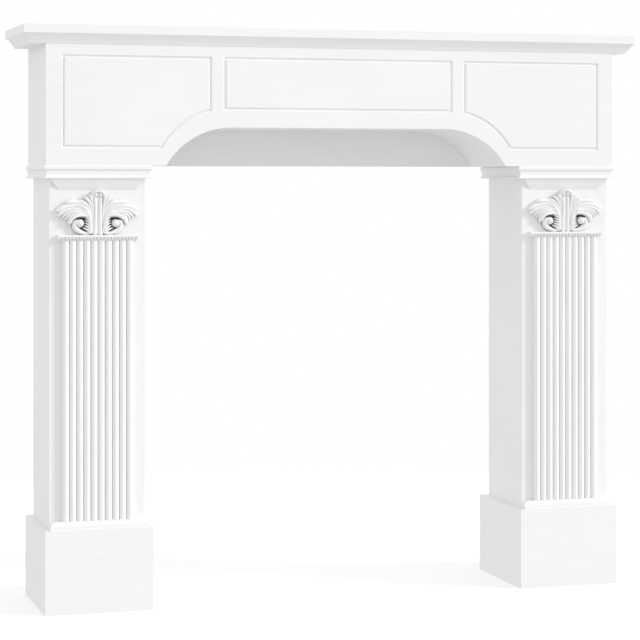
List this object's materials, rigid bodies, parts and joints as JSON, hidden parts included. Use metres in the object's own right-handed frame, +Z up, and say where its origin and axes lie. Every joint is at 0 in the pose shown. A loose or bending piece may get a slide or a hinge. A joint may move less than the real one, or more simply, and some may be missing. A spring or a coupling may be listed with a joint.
{
  "type": "fireplace mantelpiece",
  "caption": "Painted wooden fire surround: reeded pilasters on plinths with carved acanthus mounts carry an arched, panelled frieze and a moulded mantel shelf",
  "frame": {"origin": "on the floor under the middle of the mantel shelf", "axes": "+Z up, +X to the right along the shelf as seen from the room, -Y towards the room, +Y towards the wall"},
  "size_m": [1.372, 0.256, 1.223],
  "materials": {
    "white_paint": "satin white paint over smooth board",
    "carving_paint": "satin white paint over carved wood"
  },
  "bodies": {
    "root": {"shelf": "white_paint", "sub_shelf": "white_paint", "crown_front": "white_paint", "crown_return_left": "white_paint", "crown_return_right": "white_paint", "frieze_board": "white_paint", "frieze_end_left": "white_paint", "frieze_end_right": "white_paint", "arch_lining": "white_paint", "back_rail": "white_paint", "capital_left": "white_paint", "capital_right": "white_paint", "bed_mould_left": "white_paint", "bed_mould_right": "white_paint", "carved_mount_left": "carving_paint", "carved_mount_right": "carving_paint", "necking_left": "white_paint", "necking_right": "white_paint", "reeded_panel_left": "white_paint", "reeded_panel_right": "white_paint", "base_mould_left": "white_paint", "base_mould_right": "white_paint", "leg_left": "white_paint", "leg_right": "white_paint", "plinth_left": "white_paint", "plinth_right": "white_paint"}
  },
  "joints": []
}
